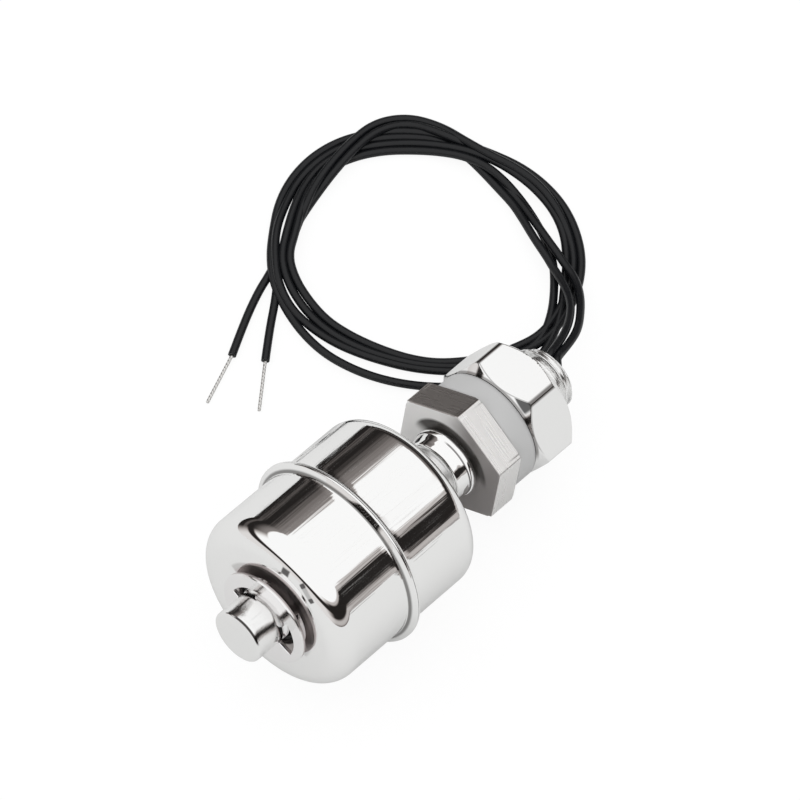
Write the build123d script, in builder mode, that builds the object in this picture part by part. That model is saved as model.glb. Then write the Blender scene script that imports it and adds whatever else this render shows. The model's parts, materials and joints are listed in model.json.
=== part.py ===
"""A stainless steel float level switch, lying on its float rim and its nut, with its two leads coiled."""
import os
from math import asin, atan2, cos, degrees, hypot, pi, radians, sin, sqrt, tan

from build123d import *

os.makedirs("parts", exist_ok=True)

# Driving sizes, in millimetres. Places along the switch are counted from the stem's closed tip.
running_gap = 0.05          # radial clearance of pieces that are pushed or screwed on
seat_gap = 0.03             # clearance between pressed or bonded pieces

stem_diameter = 8.0
stem_wall = 0.6
stem_plug_length = 8.0      # the solid closed end, which carries the clip's groove
stem_tip_round = 0.5
stem_seat_depth = 4.0       # how far the stem reaches into the threaded shank

clip_place = 5.1
clip_thickness = 0.9
clip_outer_diameter = 14.3
clip_off_centre = 0.5
clip_pocket_diameter = 11.6
clip_groove_depth = 0.5
clip_mouth = 6.4
clip_lug_width = 3.6
clip_middle_lug_width = 4.4
clip_lug_angle = 118.0      # of each side lug from the middle one, in degrees
clip_turn = -25.0           # degrees from straight up, towards +Y

float_diameter = 26.6
float_length = 27.0
float_rest_gap = 0.3        # between the clip and the float, as it lies
float_wall = 0.5
float_front_round = 3.2
float_rear_round = 2.4
float_front_length = 13.4   # of the front shell, up to the seam
float_bore_gap = 0.3        # between the stem and the float's own tube
float_tube_wall = 0.4
seam_lip_height = 1.2       # of the turned-out lips above the float's side
seam_lip = 0.8              # thickness of each shell's lip at the seam
seam_round = 0.45

magnet_outer_diameter = 19.0
magnet_length = 8.0
magnet_inset = 6.5          # from the float's front face
magnet_edge = 0.4

collar_diameter = 10.2
collar_length = 3.1
collar_round = 1.1
collar_place = 38.65
hex_across = 17.0
hex_thickness = 4.45
hex_edge = 0.2
thread_diameter = 10.0
thread_length = 16.0
thread_end_chamfer = 0.7
lead_bore_diameter = 6.2

gasket_diameter = 17.1
gasket_bore_gap = 0.35
gasket_thickness = 3.9
gasket_round = 0.5

nut_across = 17.0
nut_thickness = 7.28
nut_chamfer_diameter = 16.8
nut_chamfer_angle = 45.0
nut_bore_chamfer = 0.6

lead_diameter = 1.1
lead_spacing = 2.0
bare_diameter = 0.5
potting_inset = 0.3
potting_length = 6.0

reed_diameter = 2.4
reed_glass_length = 14.0
reed_glass_wall = 0.35
reed_seal = 2.0
reed_place = 17.0
reed_off_centre = 0.8
blade_width = 0.9
blade_thickness = 0.3
blade_overlap = 1.2
blade_gap = 0.12
blade_tail = 4.0
solder_diameter = 1.3
solder_length = 2.6
sleeve_wall = 0.35
sleeve_gap = 0.25

# Sizes that follow from the ones above
seam_diameter = float_diameter + 2 * seam_lip_height
stem_radius = stem_diameter / 2
clip_back = clip_place + clip_thickness
float_front = clip_back + float_rest_gap
seam_place = float_front + float_front_length
float_back = float_front + float_length
float_tube_inner = stem_radius + float_bore_gap
float_tube_outer = float_tube_inner + float_tube_wall
hex_front = collar_place + collar_length
hex_back = hex_front + hex_thickness
thread_end = hex_back + thread_length
stem_end = hex_back + stem_seat_depth
gasket_back = hex_back + gasket_thickness
nut_front = gasket_back
nut_back = nut_front + nut_thickness
nut_flat_radius = nut_across / 2
thread_radius = thread_diameter / 2

# The switch lies on the back edge of the nut's lowest flat, and on the rear shell's round or the seam's rim.
chamfer_rise = tan(radians(nut_chamfer_angle))
nut_flat_end = nut_back - (nut_flat_radius - nut_chamfer_diameter / 2) * chamfer_rise


def resting_tilt(centre_place, centre_radius, round_radius):
    """The slope of the line that touches the nut's edge and a round of the float."""
    reach = hypot(nut_flat_end - centre_place, centre_radius - nut_flat_radius)
    slope = atan2(centre_radius - nut_flat_radius, nut_flat_end - centre_place)
    return slope + asin(round_radius / reach)


tilt = max(
    resting_tilt(float_back - float_rear_round, float_diameter / 2 - float_rear_round, float_rear_round),
    resting_tilt(seam_place + seam_lip - seam_round, seam_diameter / 2 - seam_round, seam_round),
)
tip_height = nut_flat_radius * cos(tilt) + nut_flat_end * sin(tilt)
back_most = thread_end * cos(tilt) + (thread_radius - thread_end_chamfer) * sin(tilt)
front_most = -(stem_radius - stem_tip_round) * sin(tilt)
tip_x = -(back_most + front_most) / 2

tip = Vector(tip_x, 0, tip_height)
along = Vector(cos(tilt), 0, -sin(tilt))
upward = Vector(sin(tilt), 0, cos(tilt))
sideways = Vector(0, 1, 0)
switch_axis = Axis(tip, along)
lengthwise = Plane(origin=tip, x_dir=along, z_dir=(0, -1, 0))


def across(place, turn=0.0, side=0.0):
    """The plane square to the switch at a distance from its tip, with its local x turned from straight up
    towards +Y, and its origin moved sideways."""
    x_dir = upward * cos(radians(turn)) + sideways * sin(radians(turn))
    return Plane(origin=tip + along * place + sideways * side, x_dir=x_dir, z_dir=along)


def finish(piece, label):
    piece.part.label = label
    export_step(piece.part, f"parts/{label}.step")


# The stem: a tube with a turned solid end, grooved for the clip
with BuildPart() as stem_tube:
    with BuildSketch(lengthwise):
        with BuildLine():
            Polyline(
                (0, 0),
                (0, stem_radius - stem_tip_round),
                (stem_tip_round, stem_radius),
                (clip_place, stem_radius),
                (clip_place, stem_radius - clip_groove_depth),
                (clip_back + running_gap, stem_radius - clip_groove_depth),
                (clip_back + running_gap, stem_radius),
                (stem_end, stem_radius),
                (stem_end, stem_radius - stem_wall),
                (stem_plug_length, stem_radius - stem_wall),
                (stem_plug_length, 0),
                close=True,
            )
        make_face()
    revolve(axis=switch_axis)
finish(stem_tube, "stem_tube")

# The retaining clip: an open ring whose three lugs reach into the groove
groove_radius = stem_radius - clip_groove_depth
lug_reach = clip_outer_diameter / 2 - groove_radius
lug_span = 2 * (360 - 2 * clip_lug_angle)   # so that the two side lugs lie half of it apart
clip_centre = (clip_off_centre, 0)
with BuildPart() as retaining_clip:
    with BuildSketch(across(clip_place, turn=clip_turn)):
        with Locations(clip_centre):
            Circle(clip_outer_diameter / 2)
        Circle(clip_pocket_diameter / 2, mode=Mode.SUBTRACT)
        with Locations((groove_radius + lug_reach / 2, 0)):
            Rectangle(lug_reach, clip_middle_lug_width)
        with PolarLocations(groove_radius + lug_reach / 2, 2, start_angle=clip_lug_angle, angular_range=lug_span):
            Rectangle(lug_reach, clip_lug_width)
        Circle(groove_radius + seat_gap, mode=Mode.SUBTRACT)
        with Locations((-clip_outer_diameter / 2, 0)):
            Rectangle(clip_outer_diameter, clip_mouth, mode=Mode.SUBTRACT)
        with Locations(clip_centre):
            Circle(clip_outer_diameter / 2, mode=Mode.INTERSECT)
    extrude(amount=clip_thickness)
finish(retaining_clip, "retaining_clip")


def drawn_shell(face, corner):
    """Half of the float: a drawn cup with a rounded corner, a tube hole and a turned-out lip at the seam."""
    way = 1 if seam_place > face else -1
    outer = float_diameter / 2
    hole = float_tube_outer + seat_gap
    lip_start = seam_place - way * seam_lip
    root = seam_round
    with BuildPart() as shell:
        with BuildSketch(lengthwise) as section:
            with BuildLine():
                Polyline((face, hole), (face, outer - corner))
                RadiusArc((face, outer - corner), (face + way * corner, outer), way * corner)
                Polyline(
                    (face + way * corner, outer),
                    (lip_start - way * root, outer),
                    (lip_start, outer + root),
                    (lip_start, seam_diameter / 2 - seam_round),
                )
                RadiusArc(
                    (lip_start, seam_diameter / 2 - seam_round),
                    (lip_start + way * seam_round, seam_diameter / 2),
                    way * seam_round,
                )
                Polyline(
                    (lip_start + way * seam_round, seam_diameter / 2),
                    (seam_place, seam_diameter / 2),
                    (seam_place, outer - float_wall),
                    (face + way * corner, outer - float_wall),
                )
                RadiusArc(
                    (face + way * corner, outer - float_wall),
                    (face + way * float_wall, outer - corner),
                    -way * (corner - float_wall),
                )
                Polyline((face + way * float_wall, outer - corner), (face + way * float_wall, hole), (face, hole))
            make_face()
        revolve(axis=switch_axis)
    return shell


finish(drawn_shell(float_front, float_front_round), "float_front_shell")
finish(drawn_shell(float_back, float_rear_round), "float_rear_shell")

with BuildPart() as float_tube:
    with BuildSketch(across(float_front)):
        Circle(float_tube_outer)
        Circle(float_tube_inner, mode=Mode.SUBTRACT)
    extrude(amount=float_length)
    chamfer(float_tube.edges().filter_by(GeomType.CIRCLE).group_by(SortBy.RADIUS)[0], float_tube_wall / 2)
finish(float_tube, "float_tube")

with BuildPart() as ring_magnet:
    with BuildSketch(across(float_front + magnet_inset)):
        Circle(magnet_outer_diameter / 2)
        Circle(float_tube_outer + seat_gap, mode=Mode.SUBTRACT)
    extrude(amount=magnet_length)
    chamfer(ring_magnet.edges().filter_by(GeomType.CIRCLE).group_by(SortBy.RADIUS)[-1], magnet_edge)
finish(ring_magnet, "ring_magnet")

# The fitting: collar, hexagon and threaded shank turned from one bar, bored for the stem and the leads
with BuildPart() as hex_fitting:
    with BuildSketch(across(hex_front)):
        RegularPolygon(hex_across / 2, 6, major_radius=False)
    extrude(amount=hex_thickness)
    hex_rims = hex_fitting.faces().filter_by(Axis((0, 0, 0), along)).edges()
    chamfer(hex_rims, hex_edge)
    with BuildSketch(lengthwise):
        with BuildLine():
            collar_radius = collar_diameter / 2
            Polyline((collar_place, 0), (collar_place, collar_radius - collar_round))
            RadiusArc(
                (collar_place, collar_radius - collar_round),
                (collar_place + collar_round, collar_radius),
                collar_round,
            )
            Polyline(
                (collar_place + collar_round, collar_radius),
                (hex_back, collar_radius),
                (hex_back, thread_radius),
                (thread_end - thread_end_chamfer, thread_radius),
                (thread_end, thread_radius - thread_end_chamfer),
                (thread_end, 0),
                (collar_place, 0),
            )
        make_face()
    revolve(axis=switch_axis)
    with BuildSketch(across(collar_place)):
        Circle(stem_radius + seat_gap)
    extrude(amount=stem_end - collar_place, mode=Mode.SUBTRACT)
    with BuildSketch(across(stem_end)):
        Circle(lead_bore_diameter / 2)
    extrude(amount=thread_end - stem_end, mode=Mode.SUBTRACT)
finish(hex_fitting, "hex_fitting")

with BuildPart() as sealing_gasket:
    with BuildSketch(across(hex_back)):
        Circle(gasket_diameter / 2)
        Circle(thread_radius + gasket_bore_gap, mode=Mode.SUBTRACT)
    extrude(amount=gasket_thickness)
    fillet(sealing_gasket.edges().filter_by(GeomType.CIRCLE).group_by(SortBy.RADIUS)[-1], gasket_round)
finish(sealing_gasket, "sealing_gasket")

# The nut: a hexagon whose corners are turned off at both ends, flat side down
nut_corner_radius = nut_across / sqrt(3)
chamfer_radius = nut_chamfer_diameter / 2
corner_drop = (nut_corner_radius - chamfer_radius) * chamfer_rise
nut_bore_radius = thread_radius + running_gap
with BuildPart() as mounting_nut:
    with BuildSketch(across(nut_front)):
        RegularPolygon(nut_flat_radius, 6, major_radius=False, rotation=30)
    extrude(amount=nut_thickness)
    with BuildSketch(lengthwise):
        with BuildLine():
            Polyline(
                (nut_front, 0),
                (nut_front, chamfer_radius),
                (nut_front + corner_drop, nut_corner_radius),
                (nut_back - corner_drop, nut_corner_radius),
                (nut_back, chamfer_radius),
                (nut_back, 0),
                close=True,
            )
        make_face()
    revolve(axis=switch_axis, mode=Mode.INTERSECT)
    with BuildSketch(lengthwise):
        with BuildLine():
            Polyline(
                (nut_front, 0),
                (nut_front, nut_bore_radius + nut_bore_chamfer),
                (nut_front + nut_bore_chamfer, nut_bore_radius),
                (nut_back - nut_bore_chamfer, nut_bore_radius),
                (nut_back, nut_bore_radius + nut_bore_chamfer),
                (nut_back, 0),
                close=True,
            )
        make_face()
    revolve(axis=switch_axis, mode=Mode.SUBTRACT)
finish(mounting_nut, "mounting_nut")

# The reed switch inside the stem: a glass capsule with two overlapping blades sealed into its ends
lead_side = lead_spacing / 2
reed_end = reed_place + reed_glass_length
reed_middle = (reed_place + reed_end) / 2
blade_reach = blade_overlap / 2
blade_lift = (blade_gap + blade_thickness) / 2
reed_side = -reed_off_centre


def blade(start, end, lift):
    """A flat blade between two places, lifted off the capsule's axis."""
    with BuildPart() as strip:
        with BuildSketch(across(start, side=reed_side)):
            with Locations((lift, 0)):
                Rectangle(blade_thickness, blade_width)
        extrude(amount=end - start)
    return strip


front_blade = blade(reed_place - blade_tail, reed_middle + blade_reach, blade_lift)
rear_blade = blade(reed_middle - blade_reach, reed_end + blade_tail, -blade_lift)
finish(front_blade, "reed_blade_front")
finish(rear_blade, "reed_blade_rear")

with BuildPart() as reed_glass:
    with BuildSketch(across(reed_place, side=reed_side)):
        Circle(reed_diameter / 2)
    extrude(amount=reed_glass_length)
    fillet(reed_glass.edges().filter_by(GeomType.CIRCLE), reed_diameter / 4)
    with BuildSketch(across(reed_place + reed_seal, side=reed_side)):
        Circle(reed_diameter / 2 - reed_glass_wall)
    extrude(amount=reed_glass_length - 2 * reed_seal, mode=Mode.SUBTRACT)
    add(front_blade.part, mode=Mode.SUBTRACT)
    add(rear_blade.part, mode=Mode.SUBTRACT)
finish(reed_glass, "reed_glass")

# Two insulated wires run from the reed to the shank's mouth; solder joins them to the blades
front_joint_end = reed_place - blade_tail
wire_start_return = front_joint_end
wire_start_direct = reed_end + blade_tail
potting_back = thread_end - potting_inset
potting_front = potting_back - potting_length


def straight_wire(start, side):
    with BuildPart() as wire:
        with BuildSketch(across(start, side=side)):
            Circle(lead_diameter / 2)
        extrude(amount=potting_back - start)
    return wire


finish(straight_wire(wire_start_return, lead_side), "inner_wire_return")
finish(straight_wire(wire_start_direct, -lead_side), "inner_wire_direct")

with BuildPart() as solder_front:
    with BuildSketch(across(front_joint_end - solder_length, side=(lead_side + reed_side) / 2)):
        SlotCenterToCenter(lead_side - reed_side, solder_diameter, rotation=90)
    extrude(amount=solder_length)
finish(solder_front, "solder_joint_front")

with BuildPart() as solder_rear:
    with BuildSketch(across(wire_start_direct - solder_length, side=-lead_side)):
        Circle(solder_diameter / 2)
    extrude(amount=solder_length)
    add(rear_blade.part, mode=Mode.SUBTRACT)
finish(solder_rear, "solder_joint_rear")

stem_bore_radius = stem_radius - stem_wall
sleeve_outer = stem_bore_radius - sleeve_gap
with BuildPart() as reed_sleeve:
    with BuildSketch(across(stem_plug_length)):
        Circle(sleeve_outer)
        Circle(sleeve_outer - sleeve_wall, mode=Mode.SUBTRACT)
    extrude(amount=wire_start_direct + solder_length - stem_plug_length)
finish(reed_sleeve, "insulating_sleeve")

with BuildPart() as potting_plug:
    with BuildSketch(across(potting_front)):
        Circle(lead_bore_diameter / 2 - seat_gap)
        with Locations((0, lead_side), (0, -lead_side)):
            Circle(lead_diameter / 2 + seat_gap, mode=Mode.SUBTRACT)
    extrude(amount=potting_length)
finish(potting_plug, "potting_plug")

# The leads: each leaves the shank's mouth, joins the coil on the floor and comes out of it to a bare end
lead_radius = lead_diameter / 2
mouth = tip + along * potting_back
exit_routes = {
    "lead_exit_a": [
        (mouth.X, -lead_side, mouth.Z),
        (31.6, -0.95, 7.28),
        (33.6, 0.1, 7.05),
        (38.4, 2.0, 5.8),
        (43.3, 5.5, 3.55),
        (46.2, 9.8, 2.3),
        (48.2, 15.4, 1.8),
    ],
    "lead_exit_b": [
        (mouth.X, lead_side, mouth.Z),
        (31.6, 1.05, 7.28),
        (33.7, 1.75, 7.15),
        (38.2, 3.6, 5.9),
        (42.6, 6.95, 3.75),
        (45.1, 11.2, 2.35),
        (46.6, 15.6, 1.8),
    ],
}
tail_routes = {
    "lead_tail_a": [
        (20.1, 42.35, lead_radius),
        (15.7, 41.2, lead_radius),
        (10.85, 39.3, lead_radius),
        (5.95, 36.95, lead_radius),
    ],
    "lead_tail_b": [
        (19.65, 40.45, lead_radius),
        (16.2, 38.4, lead_radius),
        (12.4, 35.9, lead_radius),
        (8.45, 32.95, lead_radius),
    ],
}
bare_ends = {
    "bare_end_a": ("lead_tail_a", (-1.7, 34.45, bare_diameter / 2)),
    "bare_end_b": ("lead_tail_b", (2.3, 28.3, bare_diameter / 2)),
}
coil_height = 2.6
coil_outer = [
    (14.0, 30.6), (16.4, 41.9), (24.7, 50.2), (38.1, 52.3), (50.0, 48.6), (55.4, 37.7),
    (57.1, 23.7), (54.0, 12.7), (45.7, 7.0), (33.6, 7.1), (23.1, 11.4), (16.0, 19.1),
]
coil_inner = [
    (19.4, 31.0), (22.1, 39.6), (29.0, 45.4), (38.1, 46.9), (45.7, 43.0), (50.2, 35.4),
    (51.2, 26.4), (48.5, 16.4), (43.7, 11.7), (35.6, 11.6), (27.7, 14.6), (21.3, 21.6),
]
arc_share = 0.45            # of the shorter run beside a corner


def arc_radii(points, closed=False):
    """The largest tangent arc that each corner's two runs allow."""
    spots = [Vector(p) for p in points]
    count = len(spots)
    corners = range(count) if closed else range(1, count - 1)
    radii = []
    for i in corners:
        before = spots[i] - spots[i - 1]
        after = spots[(i + 1) % count] - spots[i]
        turn = radians(before.get_angle(after))
        radii.append(arc_share * min(before.length, after.length) / tan(turn / 2))
    return radii


def lead_tube(name, points):
    """A round lead along straight runs joined by tangent arcs."""
    radii = arc_radii(points)
    start = Vector(points[0])
    heading = Vector(points[1]) - start
    with BuildPart() as tube:
        with BuildLine() as route:
            FilletPolyline(*points, radius=radii)
        with BuildSketch(Plane(origin=start, z_dir=heading)):
            Circle(lead_radius)
        sweep(path=route.wires()[0])
    swept = pi * lead_radius**2 * route.wires()[0].length
    print(name, "radii", [round(r, 1) for r in radii], "volume share", round(tube.part.volume / swept, 4))
    finish(tube, name)


for lead_name, lead_points in {**exit_routes, **tail_routes}.items():
    lead_tube(lead_name, lead_points)

with BuildPart() as lead_coil:
    with BuildSketch():
        with BuildLine():
            FilletPolyline(*coil_outer, radius=arc_radii(coil_outer, closed=True), close=True)
        make_face()
        with BuildLine():
            FilletPolyline(*coil_inner, radius=arc_radii(coil_inner, closed=True), close=True)
        make_face(mode=Mode.SUBTRACT)
    extrude(amount=coil_height)
finish(lead_coil, "lead_coil")

for end_name, (tail_name, end_point) in bare_ends.items():
    first = Vector(tail_routes[tail_name][-1])
    reach = Vector(end_point) - first
    with BuildPart() as bare_end:
        with BuildSketch(Plane(origin=first, z_dir=reach)):
            Circle(bare_diameter / 2)
        extrude(amount=reach.length)
    finish(bare_end, end_name)

print("tilt", round(degrees(tilt), 3), "tip", tip, "mouth", mouth)
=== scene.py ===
import json
import math

import bpy
import numpy as np
from mathutils import Matrix, Vector
from mathutils.geometry import tessellate_polygon


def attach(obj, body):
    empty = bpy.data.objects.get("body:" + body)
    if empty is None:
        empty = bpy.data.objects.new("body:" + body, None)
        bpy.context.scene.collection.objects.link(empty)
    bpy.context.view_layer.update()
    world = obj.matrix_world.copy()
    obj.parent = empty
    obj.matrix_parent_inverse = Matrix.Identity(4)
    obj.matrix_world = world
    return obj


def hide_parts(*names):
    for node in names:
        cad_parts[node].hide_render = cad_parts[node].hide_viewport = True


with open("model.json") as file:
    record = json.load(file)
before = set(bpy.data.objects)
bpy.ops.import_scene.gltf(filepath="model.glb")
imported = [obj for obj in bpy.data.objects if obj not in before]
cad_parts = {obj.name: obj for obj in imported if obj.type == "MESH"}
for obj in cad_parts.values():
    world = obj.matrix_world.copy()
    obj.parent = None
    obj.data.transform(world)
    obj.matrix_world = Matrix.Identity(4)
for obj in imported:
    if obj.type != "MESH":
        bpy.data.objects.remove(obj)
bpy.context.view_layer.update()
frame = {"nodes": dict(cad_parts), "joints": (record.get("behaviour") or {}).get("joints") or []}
nodes = frame["nodes"]
print("frame loaded")

mm = 0.001

# The switch's own axis: where its tip is, which way it runs, and which ways are up and sideways from it
along = np.array(frame["joints"][0]["axis"])
upward = np.array([-along[2], 0.0, along[0]])
sideways = np.array([0.0, 1.0, 0.0])
tip = np.array([-30.6617, 0.0, 18.6969])        # mm

# How finely profiles are cut: steps in mm along them, the fewest on a rounded corner, and points once around
fineness = {"step": 0.8, "roundStep": 0.12, "roundSteps": 4, "around": 240}


def angles(count):
    # evenly spread once around, in radians
    return np.linspace(0, 2 * math.pi, count, endpoint=False)


def onAxis(place, radius, angle):
    # points at a place along the switch, a distance from its axis and an angle from straight up towards +Y
    place, radius, angle = np.broadcast_arrays(place, radius, angle)
    across = np.cos(angle)[..., None] * upward + np.sin(angle)[..., None] * sideways
    return (tip + place[..., None] * along + radius[..., None] * across) * mm


def meshPiece(name, points, quads, fans=()):
    # points: every corner; quads: rows of four corners; fans: rows of three
    quads, fans = np.asarray(quads, int).reshape(-1, 4), np.asarray(fans, int).reshape(-1, 3)
    mesh = bpy.data.meshes.new(name)
    mesh.vertices.add(len(points))
    mesh.vertices.foreach_set("co", np.asarray(points, np.float32).ravel())
    corners = np.concatenate([quads.ravel(), fans.ravel()])
    mesh.loops.add(len(corners))
    mesh.loops.foreach_set("vertex_index", corners)
    starts = np.concatenate([np.arange(len(quads)) * 4, len(quads) * 4 + np.arange(len(fans)) * 3])
    mesh.polygons.add(len(starts))
    mesh.polygons.foreach_set("loop_start", starts)
    mesh.update(calc_edges=True)
    mesh.polygons.foreach_set("use_smooth", np.ones(len(starts), bool))
    mesh.validate()
    piece = bpy.data.objects.new(name, mesh)
    bpy.context.scene.collection.objects.link(piece)
    return piece


def lathed(name, rows, closed):
    # rows: a grid of points, one row for each step of the profile, each row once around the axis.
    # A closed profile joins its last row to its first; an open one starts and ends on the axis.
    steps, around = rows.shape[:2]
    points = rows.reshape(-1, 3)
    last = steps if closed else steps - 1
    a = np.arange(last)[:, None] * around
    b = (np.arange(last)[:, None] + 1) % steps * around
    j, k = np.arange(around)[None, :], (np.arange(around)[None, :] + 1) % around
    quads = np.stack([a + j, a + k, b + k, b + j], -1)
    fans = []
    if not closed:
        first, end = len(points), len(points) + 1
        points = np.concatenate([points, rows[0].mean(0)[None], rows[-1].mean(0)[None]])
        j, k = j[0], k[0]
        fans = np.concatenate([
            np.stack([np.full(around, first), k, j], -1),
            np.stack([np.full(around, end), (steps - 1) * around + j, (steps - 1) * around + k], -1),
        ])
    return meshPiece(name, points, quads, fans)


def filled(corners, spacing, closed=True):
    # a profile's straight runs and rounds, cut into short steps: a corner is (place, radius) or, with a
    # third number, one that is rounded by that much
    path = []
    count = len(corners)
    for i, corner in enumerate(corners):
        here = np.array(corner[:2], float)
        if len(corner) == 2:
            path.append(here)
            continue
        size = corner[2]
        before = np.array(corners[i - 1][:2], float) - here
        after = np.array(corners[(i + 1) % count][:2], float) - here
        before, after = before / np.linalg.norm(before), after / np.linalg.norm(after)
        half = math.acos(np.clip(before @ after, -1, 1)) / 2
        start, stop = here + before * size / math.tan(half), here + after * size / math.tan(half)
        middle = here + (before + after) / np.linalg.norm(before + after) * size / math.sin(half)
        pieces = max(fineness["roundSteps"], int(size * (math.pi - 2 * half) / fineness["roundStep"]))
        for t in np.linspace(0, 1, pieces + 1):
            spot = start + (stop - start) * t - middle
            path.append(middle + spot / np.linalg.norm(spot) * size)
    full = []
    for here, there in zip(path, path[1:] + path[:1] if closed else path[1:]):
        pieces = max(1, int(np.linalg.norm(there - here) / spacing))
        full += [here + (there - here) * t for t in np.arange(pieces) / pieces]
    return np.array(full if closed else full + path[-1:])


def turned(name, corners, spacing=fineness["step"], around=fineness["around"]):
    # a closed profile carried once around the switch's axis
    path = filled(corners, spacing)
    return lathed(name, onAxis(path[:, :1], path[:, 1:], angles(around)[None, :]), closed=True)


# Shading

class Value:
    # one output of a shader's node, so that shader maths reads as plain expressions
    def __init__(self, tree, socket):
        self.tree, self.socket = tree, socket

    def node(self, kind, settings, *inputs):
        made = self.tree.nodes.new(kind)
        for key, value in settings.items():
            setattr(made, key, value)
        for socket, value in zip(made.inputs, inputs):
            if isinstance(value, Value):
                self.tree.links.new(value.socket, socket)
            elif value is not None:
                socket.default_value = value
        return made

    def maths(self, operation, *values):
        return Value(self.tree, self.node("ShaderNodeMath", {"operation": operation}, *values).outputs[0])

    def vectorMaths(self, operation, *values, result=0):
        made = self.node("ShaderNodeVectorMath", {"operation": operation}, *values)
        return Value(self.tree, made.outputs[result])

    def __add__(self, other):
        return self.maths("ADD", self, other)

    def __radd__(self, other):
        return self.maths("ADD", other, self)

    def __sub__(self, other):
        return self.maths("SUBTRACT", self, other)

    def __rsub__(self, other):
        return self.maths("SUBTRACT", other, self)

    def __mul__(self, other):
        return self.maths("MULTIPLY", self, other)

    def __truediv__(self, other):
        return self.maths("DIVIDE", self, other)

    def root(self):
        return self.maths("SQRT", self)

    def atMost(self, limit):
        return self.maths("MINIMUM", self, limit)

    def dot(self, vector):
        return self.vectorMaths("DOT_PRODUCT", self, vector, result=1)

    def between(self, low, high):
        # 0 at low and 1 at high, smooth between them and level past them; low may be the larger number
        settings = {"interpolation_type": "SMOOTHSTEP"}
        made = self.node("ShaderNodeMapRange", settings, self, low, high, 0.0, 1.0)
        return Value(self.tree, made.outputs[0])

    def within(self, start, full, ease, stop):
        # 1 from full to ease, and smoothly 0 at start and at stop
        return self.between(start, full) * self.between(stop, ease)

    def mix(self, other, share):
        return self + (other - self) * share

    def noise(self, scale, detail):
        # a pattern of this many patches a mm, where the place is in mm
        made = self.node("ShaderNodeTexNoise", {}, self, None, scale, detail)
        return Value(self.tree, made.outputs[0])

    def over(self, share, colour):
        # this colour, with another one over it where share is 1
        made = self.node("ShaderNodeMix", {"data_type": "RGBA"}, share)
        self.tree.links.new(self.socket, made.inputs["A"])
        made.inputs["B"].default_value = (*colour, 1)
        return Value(self.tree, made.outputs["Result"])

    def colours(self, low, high):
        # low where this is 0, high where it is 1
        made = self.node("ShaderNodeMix", {"data_type": "RGBA"}, self)
        made.inputs["A"].default_value, made.inputs["B"].default_value = (*low, 1), (*high, 1)
        return Value(self.tree, made.outputs["Result"])


def newMaterial(name, colour, metallic, roughness):
    # a material, its shader and the place on the object that its patterns read
    material = bpy.data.materials.new(name)
    material.use_nodes = True
    tree = material.node_tree
    shader = tree.nodes["Principled BSDF"]
    shader.inputs["Base Color"].default_value = (*colour, 1)
    shader.inputs["Metallic"].default_value = metallic
    shader.inputs["Roughness"].default_value = roughness
    place = Value(tree, tree.nodes.new("ShaderNodeTexCoord").outputs["Object"])
    return material, shader, place


def feed(value, shader, name):
    value.tree.links.new(value.socket, shader.inputs[name])


def bump(value, strength, distance=0.0001):
    # a Bump node's normal; distance in m
    made = value.node("ShaderNodeBump", {}, strength, distance)
    value.tree.links.new(value.socket, made.inputs["Height"])
    return Value(value.tree, made.outputs[0])


def switchPlace(place):
    # s, y and z: distances along the switch from its tip, sideways and upward from its axis, in mm
    offset = place.vectorMaths("SUBTRACT", place, tuple(tip * mm))
    return [offset.dot(tuple(way / mm)) for way in (along, sideways, upward)]


def fromAxis(y, z):
    return (y * y + z * z).root()


def stretched(s, y, z, lengthways, across=1.0):
    # the place as a vector for a pattern; a number below 1 draws the pattern out that way
    if across != 1.0:
        y, z = y * across, z * across
    return Value(s.tree, s.node("ShaderNodeCombineXYZ", {}, s * lengthways, y, z).outputs[0])


def putOn(piece, material, body=None, node=None):
    piece.data.materials.clear()
    piece.data.materials.append(material)
    if body:
        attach(piece, body)
    for name in [node] if isinstance(node, str) else node or ():
        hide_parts(name)


# Polished float steel: faint streaks along the axis, from drawing and polishing; painted shade round the
# hole and, on one side of the face, a painted reflection of the clip.
# A pair of numbers is where a mark starts and where it is full, and four are start, full, ease and stop, all
# in mm; a pattern has its scale and its detail.
floatLook = {"colour": (0.94, 0.94, 0.935), "roughness": 0.05, "least": 0.03,
             "streaks": (1.9, 2.0), "streakLength": 0.03, "streakBump": 0.2, "streakDull": (0.45, 0.75),
             "dull": 0.10, "wave": (0.35, 1.0), "waveLength": 0.25, "waveBump": 0.06,
             "scratches": (5.0, 1.0), "scratchLength": 0.02, "scratchDull": (0.55, 0.75), "scratched": 0.12,
             "straight": (8.6, 10.2, 30.6, 32.2), "belowSeam": (13.5, 13.4), "face": (6.7, 6.5)}
# Painted reflection of the clip's back, a paler and a darker grey on one side of the front face, and painted
# shade, nearly black, round the hole
clipReflectionLook = {"reflectionOuter": (0.66, 0.65, 0.645), "reflectionOuterEdge": (8.0, 7.5), "scale": (0.60, 0.56, 0.555),
             "reflectionInnerEdge": (7.3, 6.9), "hole": (0.04, 0.035, 0.035), "holeEdge": (5.5, 5.2),
             "side": (0.92, -0.39), "sideEdge": (-0.4, 0.3)}
floatSteel, shader, place = newMaterial("floatSteel", floatLook["colour"], 1.0, floatLook["roughness"])
s, y, z = switchPlace(place)
radius, face = fromAxis(y, z), s.between(*floatLook["face"])
streaks = stretched(s, y, z, floatLook["streakLength"]).noise(*floatLook["streaks"])
wave = stretched(s, y, z, floatLook["waveLength"]).noise(*floatLook["wave"])
scratches = stretched(s, y, z, floatLook["scratchLength"]).noise(*floatLook["scratches"])
calm = s.within(*floatLook["straight"]) * radius.between(*floatLook["belowSeam"])
feed(bump((streaks * floatLook["streakBump"] + wave * floatLook["waveBump"]) * calm, 1.0), shader, "Normal")
dull = streaks.between(*floatLook["streakDull"]) * floatLook["dull"]
dull = dull + scratches.between(*floatLook["scratchDull"]) * floatLook["scratched"]
feed(dull * calm + floatLook["least"], shader, "Roughness")

# The clip's painted reflection on one side of the face, then painted shade round the hole
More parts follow.
